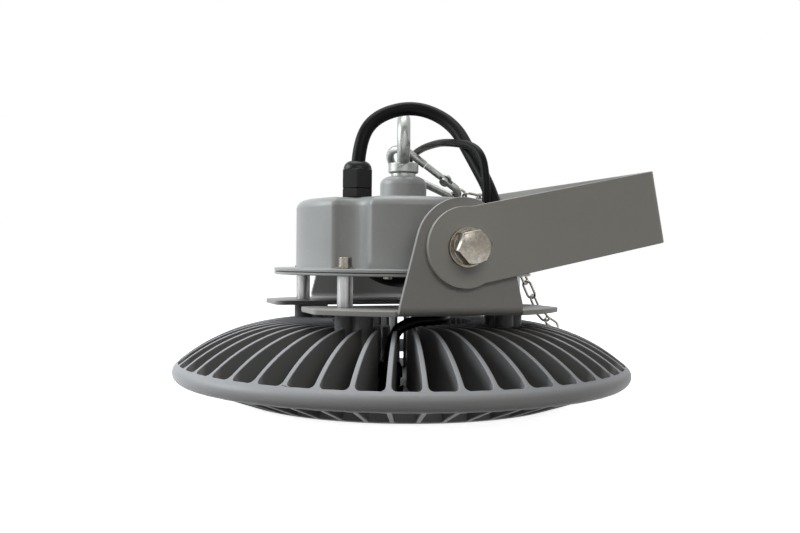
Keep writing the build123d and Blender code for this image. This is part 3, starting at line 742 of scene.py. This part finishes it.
# Spacers and long screws
# Four bright drawn tubes hold the housing above the brackets. A stainless socket screw with a
# toothed washer and a split washer runs through each one into its pillar.
drawn_tube = metal(
    "drawn_tube", shade(146, 146, 146), shade(172, 172, 172), shade(140, 138, 134), 0.4, 0.000008,
    900, (1, 1, 0.05), 50, 0.3
)
worked("spacers", "fixture", "tube_spacers", drawn_tube, 0.0003)
worked("cap_screws", "fixture", "socket_screws", stainless, 0.0002, 1)
worked("spring_washers", "fixture", "split_washers", stainless, 0.00012, 1)
worked("toothed_washers", "fixture", "star_washers", stainless, 0.00012, 1)

# Driver housing
# A die-cast drum with four flutes for the screws, a thin bolting flange and a domed neck for
# the eye bolt, closed from below by a plate and a gasket. Powder coated light grey, satin.
housing_paint = coated(
    "housing_paint", shade(156, 158, 157), shade(166, 168, 167), shade(184, 182, 178), 0.34,
    0.00007, 600, 9, 0.3
)
worked("driver_housing", "fixture", "fluted_housing", housing_paint, 0.0004)
worked("base_plate", "fixture", "housing_floor", housing_paint, 0.0003)
worked("base_plate_screws", "fixture", "floor_screws", stainless, 0.0001, 1)
clothe("housing_gasket", silicone)
rubber = coated(
    "rubber", shade(18, 18, 19), shade(26, 26, 27), shade(62, 60, 57), 0.5, 0.00003, 700, 30, 0.2,
    gloss=0.3
)
worked("base_plug", "fixture", "rubber_plug", rubber, 0.0006)
driver_case = metal(
    "driver_case", shade(150, 152, 154), shade(176, 178, 180), shade(160, 160, 160), 0.4, 0.00003
)
clothe("driver_module", driver_case)

# Cable glands
# Moulded black nylon: a hexagon base screwed into the roof, a domed hexagon cap that presses
# a rubber sleeve on the lead, and a locknut inside. A third one enters the light module.
nylon = coated(
    "nylon", shade(13, 13, 14), shade(18, 18, 19), shade(48, 46, 44), 0.3, 0.000008, 1300, 40, 0.12,
    gloss=0.22
)
for node, name in (
    ("mains_gland_body", "mains_gland_base"), ("mains_gland_cap", "mains_gland_dome"),
    ("dimming_gland_body", "dimming_gland_base"), ("dimming_gland_cap", "dimming_gland_dome"),
    ("module_gland", "module_entry"),
):
    worked(node, "fixture", name, nylon, 0.0004)
for node in ("mains_gland_locknut", "dimming_gland_locknut"):
    clothe(node, nylon)
for node in ("mains_gland_seal", "dimming_gland_seal"):
    clothe(node, rubber)

# Eye bolt
# Drop forged steel, zinc plated, screwed through the neck on a thick washer with a nut inside.
zinc = metal(
    "zinc", shade(150, 152, 149), shade(178, 180, 176), shade(134, 137, 136), 0.42, 0.00003, 240,
    (1, 1, 1), 120, 0.5
)
worked("eye_bolt", "fixture", "forged_eye", zinc, 0.0003)
worked("eye_bolt_washer", "fixture", "eye_washer", zinc, 0.0003)
clothe("eye_bolt_nut", zinc)

# Snap hook
# Bent zinc-plated wire with a flattened seat for the pin, and a gate that springs shut on the
# nose.
worked("snap_hook", "fixture", "wire_hook", zinc, 0.0002)
worked("gate_pin", "fixture", "gate_rivet", zinc, 0.0002)
worked("hook_gate", "gate", "spring_gate", zinc, 0.0002)

# Safety chain
# Links bent from stainless wire and welded on one side, joined to the hook by a round ring.
# The chain lies over the roof, hangs behind the yoke's arm and ends on the fins.
CHAIN_WIRE = 2.3 * MM
CHAIN_PITCH = 15.4 * MM
CHAIN_SLACK = 0.4 * MM
CHAIN_WIDTH = 10.4 * MM
JOIN_RING_R = 6.5 * MM
WELD_SWELL = 0.22
WELD_REACH = 1.2 * MM
WIRE_SIDES = 14
RING_MID = Vector((52.8633, -4.5393, 180.452)) * MM
RING_OUT = Vector((0.9955, -0.0952, 0.0))
RING_AXIS = Vector((-0.082, -0.857, 0.509))
CHAIN_ROUTE = (
    (58.09, -5.038, 180.452), (70.2, -2.6, 178.7), (82.2, -2, 178.3), (94.8, -0.6, 175.8),
    (103.8, 1.6, 165.6), (107.3, 3.6, 153.1), (110.8, 5, 141.2), (114.9, 5.8, 129.2),
    (119.4, 6, 117.2), (124.8, 5.4, 106), (130.2, 5, 94.6), (136, 5.4, 83.3), (142.4, 7, 72.4),
    (150.6, 9.6, 65.1), (162, 12, 59), (176.6, 13.2, 50.8),
)


def stepped(route, step):
    # Points along a broken line, each one step in a straight line from the last
    out = [route[0]]
    i = 0
    while True:
        while i + 1 < len(route) and (route[i + 1] - out[-1]).length < step:
            i += 1
        if i + 1 >= len(route):
            return out
        low, high = 0.0, 1.0
        for _ in range(40):
            middle = (low + high) / 2
            if (route[i].lerp(route[i + 1], middle) - out[-1]).length < step:
                low = middle
            else:
                high = middle
        out.append(route[i].lerp(route[i + 1], high))


def faced(middle, way, flat_side):
    # A place whose X runs along the link and whose Z stands square on its flat side
    z = (flat_side - way * flat_side.dot(way)).normalized()
    y = z.cross(way)
    turned = Matrix((way, y, z)).transposed().to_4x4()
    return Matrix.Translation(middle) @ turned


link_tree, given, result = geometry_tree(
    "welded_links",
    (
        ("Length", "Float"), ("Width", "Float"), ("Wire", "Float"), ("Ring", "Float"),
        ("Weld", "Float"), ("Finish", "Material")
    ),
)
bend = reckon(link_tree, "MULTIPLY", given["Width"], 0.4999)
oblong = branch(
    link_tree, "GeometryNodeCurvePrimitiveQuadrilateral", (), (
        ("Width", given["Length"]), ("Height", given["Width"])
    )
)
rounded = branch(
    link_tree, "GeometryNodeFilletCurve", (("mode", "POLY"),),
    (("Curve", oblong.outputs[0]), ("Count", 12), ("Radius", bend), ("Limit Radius", True)),
)
even = branch(
    link_tree, "GeometryNodeResampleCurve", (), (("Curve", rounded.outputs[0]), ("Count", 56))
)
where = branch(link_tree, "GeometryNodeInputPosition")
parts = branch(link_tree, "ShaderNodeSeparateXYZ", (), ((0, where.outputs[0]),))
off = branch(link_tree, "ShaderNodeMath", (("operation", "ABSOLUTE"),), ((0, parts.outputs["X"]),))
near = branch(
    link_tree, "ShaderNodeMapRange", (("interpolation_type", "SMOOTHSTEP"),),
    (
        ("Value", off.outputs[0]), ("From Min", 0.0), ("From Max", WELD_REACH), ("To Min", 1.0),
        ("To Max", 0.0)
    ),
)
one_side = reckon(link_tree, "GREATER_THAN", parts.outputs["Y"], 0.001)
bead = reckon(link_tree, "MULTIPLY", near.outputs[0], one_side)
swell = branch(
    link_tree, "ShaderNodeMath", (("operation", "MULTIPLY_ADD"),), (
        (0, bead), (1, given["Weld"]), (2, 1.0)
    )
)
thick = branch(
    link_tree, "GeometryNodeSetCurveRadius", (),
    (("Curve", even.outputs[0]), ("Radius", swell.outputs[0]))
)
wire_r = reckon(link_tree, "MULTIPLY", given["Wire"], 0.5)
section = branch(
    link_tree, "GeometryNodeCurvePrimitiveCircle", (),
    (("Resolution", WIRE_SIDES), ("Radius", wire_r))
)
link_body = branch(
    link_tree, "GeometryNodeCurveToMesh", (), (
        ("Curve", thick.outputs[0]), ("Profile Curve", section.outputs[0])
    )
)
hoop = branch(
    link_tree, "GeometryNodeCurvePrimitiveCircle", (),
    (("Resolution", 48), ("Radius", given["Ring"]))
)
ring_body = branch(
    link_tree, "GeometryNodeCurveToMesh", (), (
        ("Curve", hoop.outputs[0]), ("Profile Curve", section.outputs[0])
    )
)
turn = branch(
    link_tree, "GeometryNodeInputNamedAttribute", (("data_type", "FLOAT_VECTOR"),),
    (("Name", "facing"),)
)
first = branch(
    link_tree, "GeometryNodeInputNamedAttribute", (("data_type", "FLOAT"),), (("Name", "special"),)
)
is_ring = reckon(link_tree, "GREATER_THAN", first.outputs[0], 0.5)
is_link = reckon(link_tree, "LESS_THAN", first.outputs[0], 0.5)
both = link_tree.nodes.new("GeometryNodeJoinGeometry")
for body, chosen in ((link_body, is_link), (ring_body, is_ring)):
    set_out = branch(
        link_tree, "GeometryNodeInstanceOnPoints", (),
        (
            ("Points", given["Geometry"]), ("Selection", chosen), ("Instance", body.outputs[0]),
            ("Rotation", turn.outputs[0])
        ),
    )
    link_tree.links.new(set_out.outputs[0], both.inputs[0])
real = branch(link_tree, "GeometryNodeRealizeInstances", (), (("Geometry", both.outputs[0]),))
finish = branch(
    link_tree, "GeometryNodeSetMaterial", (),
    (("Geometry", real.outputs[0]), ("Material", given["Finish"]))
)
link_tree.links.new(finish.outputs[0], result[0])

joints = stepped([Vector(p) * MM for p in CHAIN_ROUTE], CHAIN_PITCH - CHAIN_SLACK)
normal = Vector((0, -0.309, 0.951))
link_places = [faced(RING_MID, RING_OUT, RING_AXIS)]
for k, (a, b) in enumerate(zip(joints, joints[1:])):
    way = (b - a).normalized()
    normal = (normal - way * normal.dot(way)).normalized()
    side_on = way.cross(normal)
    link_places.append(faced((a + b) / 2, way, normal + side_on if k % 2 else normal - side_on))
chain_steel = metal(
    "chain_steel", shade(150, 147, 140), shade(196, 194, 188), shade(104, 96, 82), 0.26, 0.00001,
    400, (1, 1, 1), 200, 0.45
)
welded_chain = grown(
    "welded_chain", link_tree,
    {
        "Length": CHAIN_PITCH + CHAIN_WIRE, "Width": CHAIN_WIDTH - CHAIN_WIRE, "Wire": CHAIN_WIRE,
        "Ring": JOIN_RING_R, "Weld": WELD_SWELL, "Finish": chain_steel,
    },
    link_places, (0,)
)
welded_chain.data.shade_smooth()
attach(welded_chain, "fixture")
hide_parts("safety_chain")

# Yoke
# One flat bar of 5 mm steel folded to a U, with rounded ends at the pivots and slots in the
# cross bar. Powder coated dark grey.
yoke_paint = coated(
    "yoke_paint", shade(167, 166, 162), shade(175, 174, 170), shade(186, 184, 180), 0.5, 0.00007,
    1100, 9, 0.3
)
worked("yoke", "yoke", "folded_yoke", yoke_paint, 0.0005)

# Pivot bolts
# Stainless hexagon bolts with a flat and a split washer outside and a nut behind each ear.
for node, name, edge in (
    ("pivot_bolts", "hexagon_bolts", 0.0), ("pivot_washers", "flat_washers", 0.0003),
    ("pivot_spring_washers", "pivot_split_washers", 0.0003), ("pivot_nuts", "hexagon_nuts", 0.0),
):
    worked(node, "fixture", name, stainless, edge)
